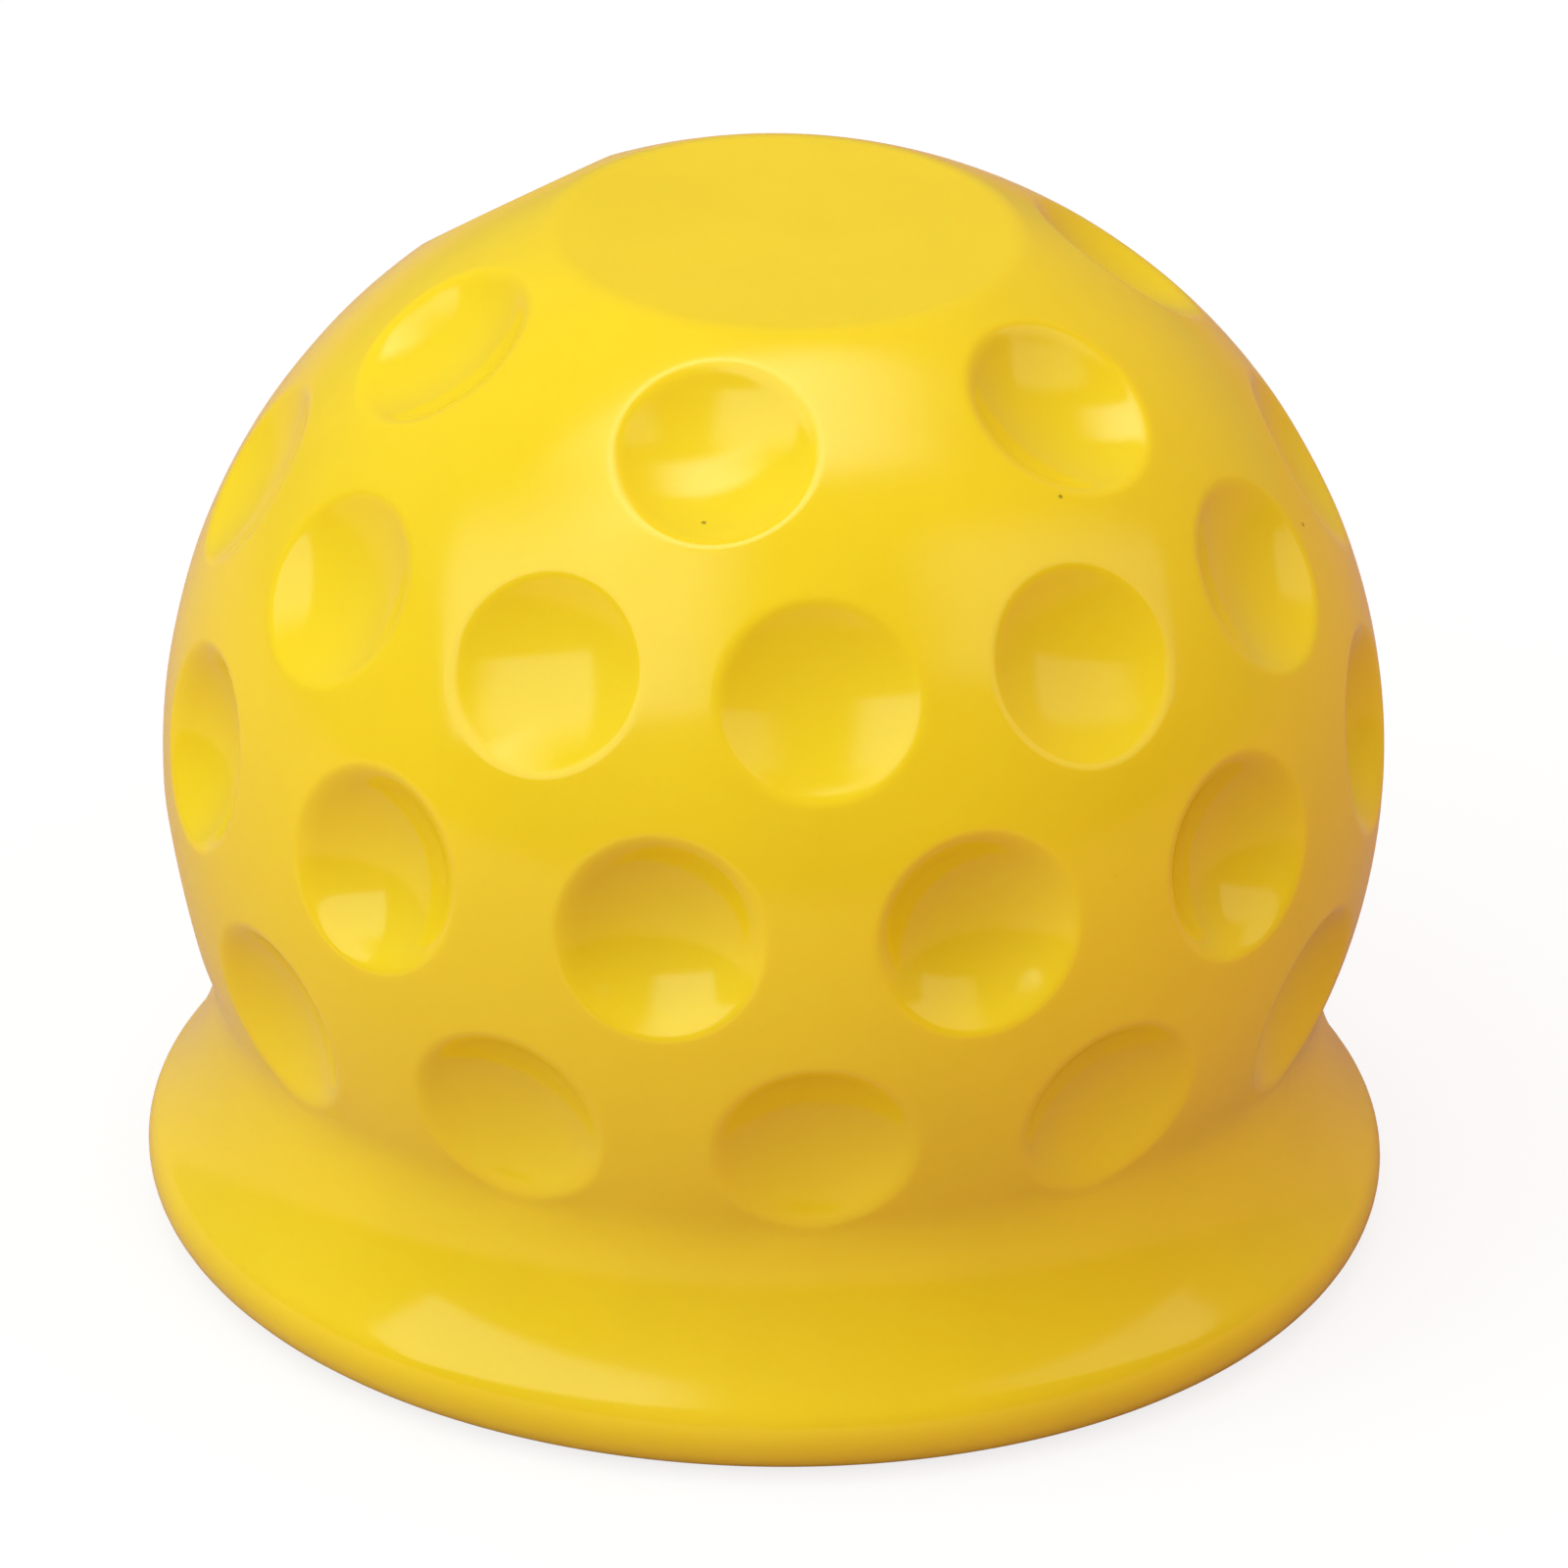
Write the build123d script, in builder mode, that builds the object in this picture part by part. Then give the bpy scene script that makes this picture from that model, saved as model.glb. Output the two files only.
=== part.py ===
"""Tow ball cover: one soft moulding, a dimpled ball that stands on a flared brim and is hollow underneath."""
import os
from math import acos, atan2, cos, degrees, hypot, radians, sin, sqrt

from build123d import *

# Ball shaped body, in millimetres
body_diameter = 66.0
body_centre_height = 26.8
crown_flat_diameter = 25.0
crown_edge_radius = 3.0

# Brim: a full round along its edge, the long flare that runs out to it and the tight waist under the body
brim_diameter = 67.5
rim_radius = 2.7
flare_radius = 17.0
waist_radius = 5.0

# Lean of the wall from upright, in degrees, where the waist goes over into the flare
flare_start_angle = 10.0

# Dimples: size across the rim before it is rounded, and the round along the rim
dimple_diameter = 10.6
dimple_edge_radius = 1.1

# Depth of the dimples below the round of the body, row by row from the crown down
first_row_depth = 2.1
second_row_depth = 1.6
third_row_depth = 2.8
fourth_row_depth = 2.1

# Dimples in each row, and the row's angles in degrees: latitude on the body, and azimuth of the first dimple
first_row_count = 6
second_row_count = 12
third_row_count = 12
fourth_row_count = 12
first_row_angles = (54.2, -90)
second_row_angles = (30.8, -75)
third_row_angles = (8.1, -90)
fourth_row_angles = (-13.7, -75)

# Inside: the seat of the coupling ball, the neck that closes under it and the flared mouth
coupling_ball_diameter = 50.0
ball_clearance = 0.2
neck_diameter = 46.0
mouth_diameter = 54.0
mouth_height = 7.0

body_radius = body_diameter / 2
crown_flat_radius = crown_flat_diameter / 2
crown_height = body_centre_height + sqrt(body_radius**2 - crown_flat_radius**2)
seat_radius = coupling_ball_diameter / 2 + ball_clearance
neck_radius = neck_diameter / 2
mouth_radius = mouth_diameter / 2
neck_top = body_centre_height - sqrt(seat_radius**2 - neck_radius**2)
body_centre = (0, body_centre_height)
rim_centre = (brim_diameter / 2 - rim_radius, rim_radius)

# The waist touches the body and the flare touches the rim's round. They touch each other where the wall
# leans as given, and there their centres lie on one line, apart by the difference of the radii.
centre_gap = flare_radius - waist_radius
gap_out = centre_gap * cos(radians(flare_start_angle))
gap_up = centre_gap * sin(radians(flare_start_angle))
start = (rim_centre[0] - gap_out, rim_centre[1] - gap_up - body_centre_height)
reach = hypot(start[0], start[1])
to_body = body_radius + waist_radius
to_rim = rim_radius + flare_radius
turn = acos((to_body**2 - reach**2 - to_rim**2) / (2 * reach * to_rim))
rim_end = degrees(atan2(start[1], start[0]) + turn)
flare_centre = (
    rim_centre[0] + to_rim * cos(radians(rim_end)),
    rim_centre[1] + to_rim * sin(radians(rim_end)),
)
waist_centre = (flare_centre[0] - gap_out, flare_centre[1] - gap_up)
body_end = degrees(atan2(waist_centre[1] - body_centre_height, waist_centre[0]))
crown_start = degrees(atan2(crown_height - body_centre_height, crown_flat_radius))
seat_start = degrees(atan2(neck_top - body_centre_height, neck_radius))

# Every dimple has the same rim circle on the body, so its depth alone sets the curve of its cup
dimple_rim_radius = dimple_diameter / 2
rim_sag = body_radius - sqrt(body_radius**2 - dimple_rim_radius**2)
rim_match = 0.001
dimple_rows = [
    (first_row_depth, first_row_count, first_row_angles),
    (second_row_depth, second_row_count, second_row_angles),
    (third_row_depth, third_row_count, third_row_angles),
    (fourth_row_depth, fourth_row_count, fourth_row_angles),
]

with BuildPart() as cover:
    with BuildSketch(Plane.XZ) as half_section:
        with BuildLine():
            Line((mouth_radius, 0), (rim_centre[0], 0))
            CenterArc(rim_centre, rim_radius, -90, 90 + rim_end)
            CenterArc(flare_centre, flare_radius, 180 + rim_end, flare_start_angle - rim_end)
            CenterArc(waist_centre, waist_radius, 180 + flare_start_angle, body_end - flare_start_angle)
            CenterArc(body_centre, body_radius, body_end, crown_start - body_end)
            Line((crown_flat_radius, crown_height), (0, crown_height))
            Line((0, crown_height), (0, body_centre_height + seat_radius))
            CenterArc(body_centre, seat_radius, 90, seat_start - 90)
            Line((neck_radius, neck_top), (neck_radius, mouth_height))
            Line((neck_radius, mouth_height), (mouth_radius, 0))
        make_face()
        crown_edge = half_section.vertices().group_by(Axis.Y)[-1].sort_by(Axis.X)[-1]
        fillet(crown_edge, crown_edge_radius)
    revolve(axis=Axis.Z)

    # Each dimple is cut by a sphere whose centre lies outside the body
    for depth, count, (latitude, first_azimuth) in dimple_rows:
        cup_depth = depth - rim_sag
        cutter_radius = (dimple_rim_radius**2 + cup_depth**2) / (2 * cup_depth)
        cutter_distance = body_radius - depth + cutter_radius
        row_height = body_centre_height + cutter_distance * sin(radians(latitude))
        row_radius = cutter_distance * cos(radians(latitude))
        with Locations((0, 0, row_height)):
            with PolarLocations(row_radius, count, first_azimuth):
                Sphere(cutter_radius, mode=Mode.SUBTRACT)

    circles = cover.edges().filter_by(GeomType.CIRCLE)
    dimple_edges = circles.filter_by(lambda edge: abs(edge.radius - dimple_rim_radius) < rim_match)
    fillet(dimple_edges, dimple_edge_radius)

cover.part.label = "cover"
os.makedirs("parts", exist_ok=True)
export_step(cover.part, "parts/cover.step")
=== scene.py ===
"""Looks of the tow ball cover: one soft yellow moulding, seen on a pale studio floor."""
from math import acos, asin, atan2, cos, hypot, pi, radians, sin, sqrt, tan

import bpy
import numpy as np
from mathutils import Matrix, Quaternion, Vector
from mathutils.geometry import delaunay_2d_cdt


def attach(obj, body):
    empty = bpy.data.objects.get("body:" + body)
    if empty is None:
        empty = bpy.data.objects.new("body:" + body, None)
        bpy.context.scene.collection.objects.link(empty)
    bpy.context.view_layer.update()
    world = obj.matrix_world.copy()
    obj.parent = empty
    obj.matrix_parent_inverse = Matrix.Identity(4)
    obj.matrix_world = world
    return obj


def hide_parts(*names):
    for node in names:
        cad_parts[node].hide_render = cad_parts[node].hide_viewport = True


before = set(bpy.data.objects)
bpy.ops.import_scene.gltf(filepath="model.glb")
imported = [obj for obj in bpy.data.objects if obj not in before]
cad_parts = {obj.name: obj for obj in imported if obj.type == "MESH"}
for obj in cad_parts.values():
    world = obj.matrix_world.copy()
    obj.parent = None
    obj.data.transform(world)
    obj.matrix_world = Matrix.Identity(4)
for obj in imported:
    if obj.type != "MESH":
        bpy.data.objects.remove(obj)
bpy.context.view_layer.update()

# Sizes of the moulding, in metres
MM = 0.001
BODY_RADIUS = 33.0 * MM
BODY_HEIGHT = 26.8 * MM
CROWN_FLAT_RADIUS = 12.5 * MM
CROWN_EDGE_RADIUS = 3.0 * MM
BRIM_RADIUS = 33.75 * MM
RIM_RADIUS = 2.7 * MM
FLARE_RADIUS = 17.0 * MM
WAIST_RADIUS = 5.0 * MM
DIMPLE_RADIUS = 5.3 * MM
DIMPLE_EDGE_RADIUS = 1.1 * MM
SEAT_RADIUS = 25.2 * MM
NECK_RADIUS = 23.0 * MM
MOUTH_RADIUS = 27.0 * MM
MOUTH_HEIGHT = 7.0 * MM

# Lean of the wall from upright, where the waist goes over into the flare
FLARE_START = radians(10.0)

# Dimple rows from the crown down: depth, latitude, count and azimuth of the first, with angles in degrees
DIMPLE_ROWS = [
    (2.1 * MM, 54.2, 6, -90.0),
    (1.6 * MM, 30.8, 12, -75.0),
    (2.8 * MM, 8.1, 12, -90.0),
    (2.1 * MM, -13.7, 12, -75.0),
]

# Fineness of the mesh: steps round the axis, along each stretch of the half section and round a dimple
TURN_STEPS = 240
CROWN_STEPS = 6
CROWN_EDGE_STEPS = 6
FLARE_STEPS = 14
RIM_STEPS = 18
BASE_STEPS = 4
NECK_STEPS = 5
SEAT_STEPS = 26
DIMPLE_STEPS = 56

# Rings of a dimple, by their angle in degrees from its axis: even in the cup, finer over the rolled edge
CUP_REACH = 7.4
CUP_RINGS = 9
EDGE_REACH = 11.1
EDGE_RINGS = 12
CUP_ANGLES = np.radians(np.linspace(0.0, CUP_REACH, CUP_RINGS + 1)[1:])
EDGE_ANGLES = np.radians(np.linspace(CUP_REACH, EDGE_REACH, EDGE_RINGS + 1)[1:])

# Plain round between the dimples: spacing of its points, and the share of it kept free round a dimple
BODY_SPACING = 0.9 * MM
FREE_SHARE = 0.55
MERGE_DISTANCE = 1e-9
SHARP_ANGLE = radians(32)

# Camera, found from the outline and the dimples in the photograph; angles in degrees
CAMERA_AZIMUTH = 10.17
CAMERA_ELEVATION = 27.107
CAMERA_DISTANCE = 771.5 * MM
CAMERA_RIGHT = 0.566 * MM
CAMERA_UP = -2.173 * MM
CAMERA_ROLL = 1.328
CAMERA_CLIP = (0.01, 50.0)
SENSOR_WIDTH = 36.0
FOCAL_PIXELS = 14556.7
IMAGE_PIXELS = 1600

# The plastic: two shades, dark specks, a range of roughness and a fine grain; scales in features per metre
SHADE_DEEP = (0.815, 0.605, 0.0115)
SHADE_PALE = (0.855, 0.635, 0.0125)
SHADE_SCALE = 70.0
SPECK_COLOUR = (0.16, 0.09, 0.01)
SPECK_STRENGTH = 0.75
SPECK_SCALE = 170.0
ROUGHNESS = (0.11, 0.15)
ROUGHNESS_SCALE = 110.0
GRAIN_SCALE = 900.0

# Specks: reach of a spot in its cell, full and faded out, and the draws from which on a cell has one
SPECK_REACH = (0.012, 0.03)
SPECK_DRAW = (0.80, 0.82)

# Band of a noise texture's values that is spread over the whole range
NOISE_BAND = (0.3, 0.7)

# Colours of the studio: the lamps, the fill on surfaces, the room in reflections, and the floor
LAMP_COLOUR = (0.80, 1.00, 0.87)
FILL_LEFT = (1.02, 0.98, 0.98)
FILL_RIGHT = (0.68, 0.40, 0.38)
ROOM_FRONT = (0.035, 0.035, 0.035)
ROOM_BACK = (0.22, 0.22, 0.22)
FLOOR_LEFT = (0.57, 0.41, 0.33)
FLOOR_RIGHT = (0.485, 0.285, 0.215)
FLOOR_SEEN = (0.94, 0.96, 1.00)
WHITE = (1.0, 1.0, 1.0)

# Where these colours turn: azimuth from the camera's and elevation, in degrees, and a band along that way
FILL_WAY = (-55, 30)
FILL_BAND = (-0.5, 1.0)
ROOM_WAY = (180, 0)
ROOM_BAND = (-0.5, 0.9)
FLOOR_WAY = (90, 0)
FLOOR_BAND = (-60 * MM, 80 * MM)

# Floor: half its width, its level just under the base, and the share of plain white that the camera sees
FLOOR_HALF_WIDTH = 4.0
FLOOR_LEVEL = -0.02 * MM
FLOOR_WHITE = 0.8

# The half section's tangent points, from the sizes above
CENTRE = np.array([0.0, 0.0, BODY_HEIGHT])
CROWN_HEIGHT = BODY_HEIGHT + sqrt(BODY_RADIUS**2 - CROWN_FLAT_RADIUS**2)
CROWN_EDGE_RISE = CROWN_HEIGHT - CROWN_EDGE_RADIUS - BODY_HEIGHT
CROWN_REACH = sqrt((BODY_RADIUS - CROWN_EDGE_RADIUS) ** 2 - CROWN_EDGE_RISE**2)
ROUND_TOP = atan2(CROWN_EDGE_RISE, CROWN_REACH)
RIM_CENTRE = (BRIM_RADIUS - RIM_RADIUS, RIM_RADIUS)
CENTRE_GAP = FLARE_RADIUS - WAIST_RADIUS
FLARE_STEP = (CENTRE_GAP * cos(FLARE_START), CENTRE_GAP * sin(FLARE_START))
FLARE_AIM = (RIM_CENTRE[0] - FLARE_STEP[0], RIM_CENTRE[1] - FLARE_STEP[1] - BODY_HEIGHT)
AIM_LENGTH = hypot(FLARE_AIM[0], FLARE_AIM[1])
WAIST_REACH = BODY_RADIUS + WAIST_RADIUS
RIM_REACH = RIM_RADIUS + FLARE_RADIUS
FLARE_TURN = acos((WAIST_REACH**2 - AIM_LENGTH**2 - RIM_REACH**2) / (2 * AIM_LENGTH * RIM_REACH))
RIM_END = atan2(FLARE_AIM[1], FLARE_AIM[0]) + FLARE_TURN
FLARE_CENTRE = (RIM_CENTRE[0] + RIM_REACH * cos(RIM_END), RIM_CENTRE[1] + RIM_REACH * sin(RIM_END))
WAIST_CENTRE = (FLARE_CENTRE[0] - FLARE_STEP[0], FLARE_CENTRE[1] - FLARE_STEP[1])
BODY_END = atan2(WAIST_CENTRE[1] - BODY_HEIGHT, WAIST_CENTRE[0])
FLARE_TOP = (
    FLARE_CENTRE[0] - FLARE_RADIUS * cos(FLARE_START),
    FLARE_CENTRE[1] - FLARE_RADIUS * sin(FLARE_START),
)
ROUND_FOOT = atan2(FLARE_TOP[1] - BODY_HEIGHT, FLARE_TOP[0])
NECK_TOP = BODY_HEIGHT - sqrt(SEAT_RADIUS**2 - NECK_RADIUS**2)
SEAT_START = atan2(NECK_TOP - BODY_HEIGHT, NECK_RADIUS)


def arc(centre, radius, start, end, steps):
    """Points on an arc in the half section, from angle start to angle end in radians, ends included."""
    angles = np.linspace(start, end, steps + 1)
    return [(centre[0] + radius * cos(a), centre[1] + radius * sin(a)) for a in angles]


def section():
    """The half section's stretches above and below the dimpled round, as points (radius, height)."""
    crown_edge_centre = (CROWN_REACH, CROWN_HEIGHT - CROWN_EDGE_RADIUS)
    crown = [(CROWN_REACH * k / CROWN_STEPS, CROWN_HEIGHT) for k in range(1, CROWN_STEPS)]
    crown += arc(crown_edge_centre, CROWN_EDGE_RADIUS, pi / 2, ROUND_TOP, CROWN_EDGE_STEPS)
    lower = arc(FLARE_CENTRE, FLARE_RADIUS, pi + FLARE_START, pi + RIM_END, FLARE_STEPS)
    lower += arc(RIM_CENTRE, RIM_RADIUS, RIM_END, -pi / 2, RIM_STEPS)[1:]
    lower += [(r, 0.0) for r in np.linspace(RIM_CENTRE[0], MOUTH_RADIUS, BASE_STEPS + 1)[1:]]
    shares = np.linspace(0, 1, NECK_STEPS + 1)[1:]
    lower += [(MOUTH_RADIUS + (NECK_RADIUS - MOUTH_RADIUS) * s, MOUTH_HEIGHT * s) for s in shares]
    lower += [(NECK_RADIUS, MOUTH_HEIGHT + (NECK_TOP - MOUTH_HEIGHT) * s) for s in shares]
    lower += arc((0.0, BODY_HEIGHT), SEAT_RADIUS, SEAT_START, pi / 2, SEAT_STEPS)[1:-1]
    return crown, lower


def direction(latitude, azimuth):
    """Unit vector from the body's centre."""
    return np.array([cos(latitude) * cos(azimuth), cos(latitude) * sin(azimuth), sin(latitude)])


def round_distance(latitude):
    """Distance from the body's centre to the undimpled outside: the ball, or the waist below it."""
    turn = latitude - BODY_END
    if turn >= 0:
        return BODY_RADIUS
    return WAIST_REACH * cos(turn) - sqrt(WAIST_RADIUS**2 - (WAIST_REACH * sin(turn)) ** 2)


def dimples():
    """Each dimple's axis, the distance and radius of the sphere that shapes its cup, and its rim's blend."""
    places = []
    for depth, latitude, count, first in DIMPLE_ROWS:
        cup = depth - BODY_RADIUS + sqrt(BODY_RADIUS**2 - DIMPLE_RADIUS**2)
        radius = (DIMPLE_RADIUS**2 + cup**2) / (2 * cup)
        angle = asin(DIMPLE_RADIUS / radius) + asin(DIMPLE_RADIUS / BODY_RADIUS)
        blend = DIMPLE_EDGE_RADIUS * tan(angle / 2) * tan(angle)
        for k in range(count):
            axis = direction(radians(latitude), radians(first + 360.0 * k / count))
            places.append((axis, BODY_RADIUS - depth + radius, radius, blend))
    return places


def outside_point(heading, dimple):
    """The point of the outside in a direction from the body's centre, in or near the given dimple.

    The cup meets the plain round in a smooth minimum, which rolls the edge."""
    axis, distance, radius, blend = dimple
    plain = round_distance(asin(heading[2]))
    along = distance * float(np.dot(heading, axis))
    inside = along**2 - distance**2 + radius**2
    if inside > 0:
        cut = along - sqrt(inside)
        ease = max(0.0, 1 - abs(plain - cut) / blend)
        plain = min(plain, cut) - blend * ease**2 / 4
    return CENTRE + plain * heading


class Shell:
    """Collects the vertices and faces of one closed mesh."""

    def __init__(self):
        self.points = []
        self.faces = []

    def add(self, point):
        """A new vertex; returns its number."""
        self.points.append(tuple(float(c) for c in point))
        return len(self.points) - 1

    def ring(self, radius, height):
        """A level ring of vertices round the Z axis."""
        angles = [2 * pi * k / TURN_STEPS for k in range(TURN_STEPS)]
        return [self.add((radius * cos(a), radius * sin(a), height)) for a in angles]

    def bridge(self, first, second):
        """A band of faces from one ring to the next, in the order in which the section's points run."""
        n = len(first)
        for k in range(n):
            m = (k + 1) % n
            self.faces.append((first[k], second[k], second[m], first[m]))

    def cap(self, centre, ring):
        """A fan of faces from a centre to a ring."""
        n = len(ring)
        for k in range(n):
            self.faces.append((centre, ring[k], ring[(k + 1) % n]))


def add_dimple(shell, dimple):
    """Rings of one dimple; returns the outermost, which lies on the plain round."""
    axis = dimple[0]
    side = np.cross(axis, (0.0, 0.0, 1.0))
    side /= np.linalg.norm(side)
    other = np.cross(axis, side)
    turns = [2 * pi * k / DIMPLE_STEPS for k in range(DIMPLE_STEPS)]
    rings = []
    for angle in (*CUP_ANGLES, *EDGE_ANGLES):
        headings = [cos(angle) * axis + sin(angle) * (cos(a) * side + sin(a) * other) for a in turns]
        rings.append([shell.add(outside_point(heading, dimple)) for heading in headings])
    for inner, outer in zip(rings, rings[1:]):
        shell.bridge(inner, outer)
    shell.cap(shell.add(outside_point(axis, dimple)), rings[0])
    return rings[-1]


def add_body_round(shell, axes, dimple_rings, top_ring, bottom_ring):
    """The plain round between the dimples, triangulated in a stereographic map."""
    ids = list(top_ring) + list(bottom_ring)
    loops = [list(range(TURN_STEPS)), list(range(TURN_STEPS, 2 * TURN_STEPS))]
    for ring in dimple_rings:
        loops.append(list(range(len(ids), len(ids) + len(ring))))
        ids += ring
    step = BODY_SPACING / BODY_RADIUS
    rows = int((ROUND_TOP - ROUND_FOOT) / step)
    clear = cos(EDGE_ANGLES[-1] + FREE_SHARE * step)
    for i in range(1, rows):
        latitude = ROUND_FOOT + (ROUND_TOP - ROUND_FOOT) * i / rows
        count = int(2 * pi * cos(latitude) / step)
        for k in range(count):
            heading = direction(latitude, 2 * pi * (k + 0.5 * (i % 2)) / count)
            if (axes @ heading).max() < clear:
                ids.append(shell.add(CENTRE + round_distance(latitude) * heading))
    offsets = np.array([shell.points[i] for i in ids]) - CENTRE
    units = offsets / np.linalg.norm(offsets, axis=1)[:, None]
    flat = [Vector((u[0] / (1 + u[2]), u[1] / (1 + u[2]))) for u in units]
    edges = [(loop[k], loop[(k + 1) % len(loop)]) for loop in loops for k in range(len(loop))]
    faces, sources = delaunay_2d_cdt(flat, edges, [], 0, MERGE_DISTANCE)[2:4]
    origin = [source[0] for source in sources]
    for face in faces:
        corners = [origin[v] for v in face]
        middle = units[corners].mean(axis=0)
        middle /= np.linalg.norm(middle)
        in_dimple = (axes @ middle).max() > cos(EDGE_ANGLES[-1])
        if in_dimple or not ROUND_FOOT < asin(middle[2]) < ROUND_TOP:
            continue
        a, b, c = units[corners]
        if np.dot(np.cross(b - a, c - a), middle) < 0:
            corners.reverse()
        shell.faces.append(tuple(ids[v] for v in corners))


def build_cover():
    """The whole moulding as one closed mesh."""
    crown, lower = section()
    shell = Shell()
    top = [shell.ring(r, z) for r, z in crown]
    shell.cap(shell.add((0.0, 0.0, CROWN_HEIGHT)), top[0])
    for inner, outer in zip(top, top[1:]):
        shell.bridge(inner, outer)
    bottom = [shell.ring(r, z) for r, z in lower]
    for upper, under in zip(bottom, bottom[1:]):
        shell.bridge(upper, under)
    shell.cap(shell.add((0.0, 0.0, BODY_HEIGHT + SEAT_RADIUS)), list(reversed(bottom[-1])))
    places = dimples()
    rings = [add_dimple(shell, dimple) for dimple in places]
    add_body_round(shell, np.array([dimple[0] for dimple in places]), rings, top[-1], bottom[0])
    mesh = bpy.data.meshes.new("tow_ball_cover")
    mesh.from_pydata(shell.points, [], shell.faces)
    mesh.validate()
    mesh.shade_smooth()
    mesh.set_sharp_from_angle(angle=SHARP_ANGLE)
    cover = bpy.data.objects.new("tow_ball_cover", mesh)
    bpy.context.scene.collection.objects.link(cover)
    return cover


class Graph:
    """Adds nodes to the node tree of a material, a lamp or the world."""

    def __init__(self, tree):
        self.nodes = tree.nodes
        self.links = tree.links

    def add(self, kind, values=None):
        """A new shader node, with the values of some of its inputs."""
        node = self.nodes.new("ShaderNode" + kind)
        for name, value in (values or {}).items():
            node.inputs[name].default_value = value
        return node

    def join(self, output, socket):
        """Links a node's output to an input."""
        self.links.new(output, socket)

    def ramp(self, value, low, high, start, end):
        """A smooth ramp of a value, from start at low to end at high."""
        node = self.add("MapRange", {"From Min": low, "From Max": high, "To Min": start, "To Max": end})
        node.interpolation_type = "SMOOTHSTEP"
        self.join(value, node.inputs["Value"])
        return node.outputs["Result"]

    def multiply(self, first, second):
        """The product of two values."""
        node = self.add("Math")
        node.operation = "MULTIPLY"
        self.join(first, node.inputs[0])
        self.join(second, node.inputs[1])
        return node.outputs["Value"]

    def along(self, place, heading):
        """How far a place lies along a direction."""
        node = self.add("VectorMath")
        node.operation = "DOT_PRODUCT"
        node.inputs[1].default_value = heading
        self.join(place, node.inputs[0])
        return node.outputs["Value"]

    def mix(self, factor, first, second):
        """The blend of two colours, each a value or another node's output."""
        node = self.add("Mix")
        node.data_type = "RGBA"
        self.join(factor, node.inputs["Factor"])
        for name, colour in (("A", first), ("B", second)):
            if isinstance(colour, tuple):
                node.inputs[name].default_value = (*colour, 1.0)
            else:
                self.join(colour, node.inputs[name])
        return node.outputs["Result"]

    def noise(self, place, scale, detail):
        """A noise texture's value, its scale in features per metre."""
        node = self.add("TexNoise", {"Scale": scale, "Detail": detail})
        self.join(place, node.inputs["Vector"])
        return node.outputs["Fac"]


def add_specks(graph, place):
    """Strength of the dark specks: a spot in the middle of each of a few cells."""
    cells = graph.add("TexVoronoi", {"Scale": SPECK_SCALE})
    graph.join(place, cells.inputs["Vector"])
    spot = graph.ramp(cells.outputs["Distance"], *SPECK_REACH, 1.0, 0.0)
    draw = graph.add("SeparateXYZ")
    graph.join(cells.outputs["Color"], draw.inputs["Vector"])
    chosen = graph.ramp(draw.outputs["X"], *SPECK_DRAW, 0.0, SPECK_STRENGTH)
    return graph.multiply(spot, chosen)


def soft_plastic():
    """Satin yellow soft plastic: faintly uneven in colour and gloss, with a few dark specks in it."""
    material = bpy.data.materials.new("soft_plastic")
    material.use_nodes = True
    graph = Graph(material.node_tree)
    shader = graph.nodes["Principled BSDF"]
    shader.inputs["IOR"].default_value = 1.62
    shader.inputs["Subsurface Weight"].default_value = 0.25
    shader.inputs["Subsurface Radius"].default_value = (1.0, 0.4, 0.1)
    shader.inputs["Subsurface Scale"].default_value = 1.2 * MM
    place = graph.add("TexCoord").outputs["Object"]

    clouds = graph.ramp(graph.noise(place, SHADE_SCALE, detail=3.0), *NOISE_BAND, 0.0, 1.0)
    shade = graph.mix(clouds, SHADE_DEEP, SHADE_PALE)
    colour = graph.mix(add_specks(graph, place), shade, SPECK_COLOUR)
    graph.join(colour, shader.inputs["Base Color"])

    gloss = graph.ramp(graph.noise(place, ROUGHNESS_SCALE, detail=4.0), *NOISE_BAND, *ROUGHNESS)
    graph.join(gloss, shader.inputs["Roughness"])
    grain = graph.add("Bump", {"Strength": 0.25, "Distance": 0.02 * MM})
    graph.join(graph.noise(place, GRAIN_SCALE, detail=2.0), grain.inputs["Height"])
    graph.join(grain.outputs["Normal"], shader.inputs["Normal"])
    return material


def studio_direction(azimuth, elevation):
    """Unit vector for two angles in degrees; azimuth is measured from the camera's, to the right."""
    a, e = radians(azimuth + CAMERA_AZIMUTH), radians(elevation)
    return Vector((sin(a) * cos(e), -cos(a) * cos(e), sin(e)))


def floor_material():
    """White to the camera but for shadows; other rays see it dim and warm, and browner on the right."""
    material = bpy.data.materials.new("floor")
    material.use_nodes = True
    graph = Graph(material.node_tree)
    camera_ray = graph.add("LightPath").outputs["Is Camera Ray"]
    shader = graph.nodes["Principled BSDF"]
    shader.inputs["Roughness"].default_value = 0.9
    shader.inputs["Specular IOR Level"].default_value = 0.0
    across = graph.along(graph.add("TexCoord").outputs["Object"], studio_direction(*FLOOR_WAY))
    bounce = graph.mix(graph.ramp(across, *FLOOR_BAND, 0.0, 1.0), FLOOR_LEFT, FLOOR_RIGHT)
    graph.join(graph.mix(camera_ray, bounce, FLOOR_SEEN), shader.inputs["Base Color"])
    white = graph.add("Emission")
    surface = graph.add("MixShader")
    graph.join(graph.ramp(camera_ray, 0.0, 1.0, 0.0, FLOOR_WHITE), surface.inputs["Fac"])
    graph.join(shader.outputs["BSDF"], surface.inputs[1])
    graph.join(white.outputs["Emission"], surface.inputs[2])
    graph.join(surface.outputs["Shader"], graph.nodes["Material Output"].inputs["Surface"])
    return material


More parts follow.
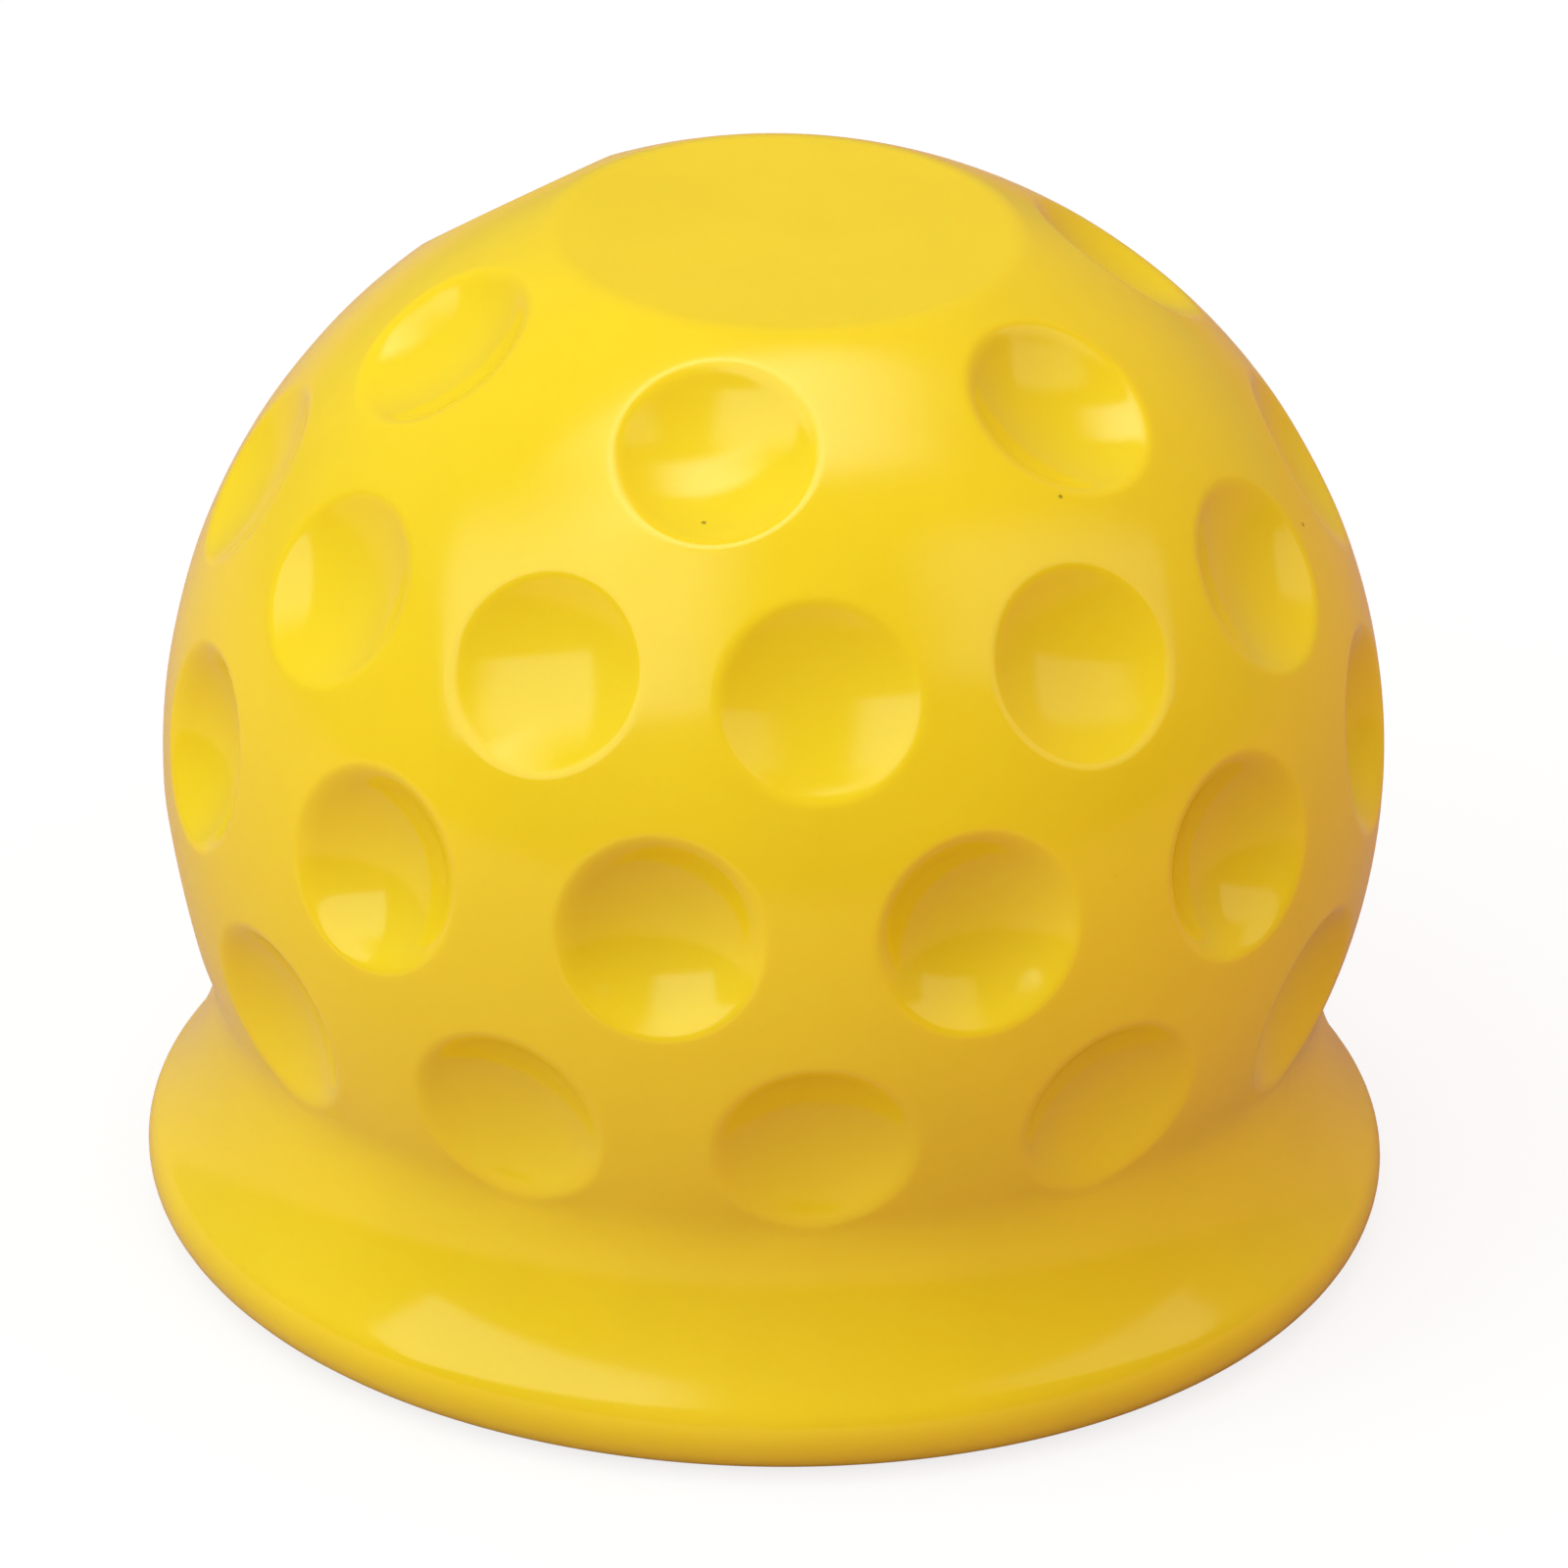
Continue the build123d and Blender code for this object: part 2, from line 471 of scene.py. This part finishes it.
def add_floor():
    """A wide plain floor under the cover."""
    signs = [(-1, -1), (1, -1), (1, 1), (-1, 1)]
    corners = [(x * FLOOR_HALF_WIDTH, y * FLOOR_HALF_WIDTH, FLOOR_LEVEL) for x, y in signs]
    mesh = bpy.data.meshes.new("floor")
    mesh.from_pydata(corners, [], [(0, 1, 2, 3)])
    mesh.materials.append(floor_material())
    floor = bpy.data.objects.new("floor", mesh)
    bpy.context.scene.collection.objects.link(floor)


def add_world():
    """White to the camera; on surfaces a fill that is warm on the right, in reflections a dim room."""
    world = bpy.data.worlds.new("studio")
    bpy.context.scene.world = world
    world.use_nodes = True
    graph = Graph(world.node_tree)
    rays = graph.add("LightPath")
    sky = graph.add("TexCoord").outputs["Generated"]
    leftward = graph.ramp(graph.along(sky, studio_direction(*FILL_WAY)), *FILL_BAND, 0.0, 1.0)
    fill = graph.mix(leftward, FILL_RIGHT, FILL_LEFT)
    backward = graph.ramp(graph.along(sky, studio_direction(*ROOM_WAY)), *ROOM_BAND, 0.0, 1.0)
    room = graph.mix(backward, ROOM_FRONT, ROOM_BACK)
    lit = graph.mix(rays.outputs["Is Glossy Ray"], fill, room)
    seen = graph.mix(rays.outputs["Is Camera Ray"], lit, WHITE)
    graph.join(seen, graph.nodes["Background"].inputs["Color"])


def fade_ends(graph, position, low, high):
    """Factor over a position from 0 to 1: it rises over the low share of it and falls over the high one."""
    rise = graph.ramp(position, 0.0, low, 0.0, 1.0)
    fall = graph.ramp(position, 1.0 - high, 1.0, 1.0, 0.0)
    return graph.multiply(rise, fall)


def add_softbox(name, azimuth, elevation, roll, distance, size, fades, power):
    """An area light that faces the body's centre, with angles in degrees as in studio_direction.

    The fades are the shares of the panel over which its light dies away: at the two ends of its width, then
    at the two ends of its height."""
    data = bpy.data.lights.new(name, "AREA")
    data.shape = "RECTANGLE"
    data.size, data.size_y = size
    data.energy = power
    data.color = LAMP_COLOUR
    data.use_nodes = True
    graph = Graph(data.node_tree)
    axes = graph.add("SeparateXYZ")
    graph.join(graph.add("NewGeometry").outputs["Parametric"], axes.inputs["Vector"])
    across = fade_ends(graph, axes.outputs["X"], *fades[:2])
    along = fade_ends(graph, axes.outputs["Y"], *fades[2:])
    graph.join(graph.multiply(across, along), graph.nodes["Emission"].inputs["Strength"])
    light = bpy.data.objects.new(name, data)
    bpy.context.scene.collection.objects.link(light)
    back = studio_direction(azimuth, elevation)
    light.location = Vector(CENTRE) + back * distance
    light.rotation_mode = "QUATERNION"
    light.rotation_quaternion = (-back).to_track_quat("-Z", "Y") @ Quaternion((0, 0, 1), radians(roll))
    light.visible_camera = False


def add_camera():
    """The camera at the photograph's place, worked out from the fitted values."""
    roll = radians(CAMERA_ROLL)
    back = studio_direction(0, CAMERA_ELEVATION)
    level = studio_direction(90, 0)
    rise = back.cross(level)
    right = cos(roll) * level + sin(roll) * rise
    up = -sin(roll) * level + cos(roll) * rise
    place = Vector(CENTRE) + back * CAMERA_DISTANCE + right * CAMERA_RIGHT + up * CAMERA_UP
    data = bpy.data.cameras.new("camera")
    data.sensor_width = SENSOR_WIDTH
    data.lens = SENSOR_WIDTH * FOCAL_PIXELS / IMAGE_PIXELS
    data.clip_start, data.clip_end = CAMERA_CLIP
    camera = bpy.data.objects.new("camera", data)
    bpy.context.scene.collection.objects.link(camera)
    camera.matrix_world = Matrix((
        (right.x, up.x, back.x, place.x),
        (right.y, up.y, back.y, place.y),
        (right.z, up.z, back.z, place.z),
        (0, 0, 0, 1),
    ))
    bpy.context.scene.camera = camera


cover = build_cover()
cover.data.materials.append(soft_plastic())
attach(cover, "root")
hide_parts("cover")

add_floor()
add_world()
add_softbox(
    "overhead_softbox", azimuth=-75, elevation=83, roll=0, distance=0.8,
    size=(0.5, 1.25), fades=(0.25, 0.25, 0.5, 0.45), power=4.7,
)
add_softbox(
    "left_softbox", azimuth=-49, elevation=46, roll=29, distance=0.7,
    size=(0.84, 0.62), fades=(0.04, 0.3, 0.05, 0.4), power=2.1,
)
add_softbox(
    "right_softbox", azimuth=69, elevation=39, roll=-34, distance=0.7,
    size=(0.76, 0.4), fades=(0.3, 0.04, 0.06, 0.3), power=0.62,
)
add_camera()
bpy.context.scene.view_settings.view_transform = "Standard"
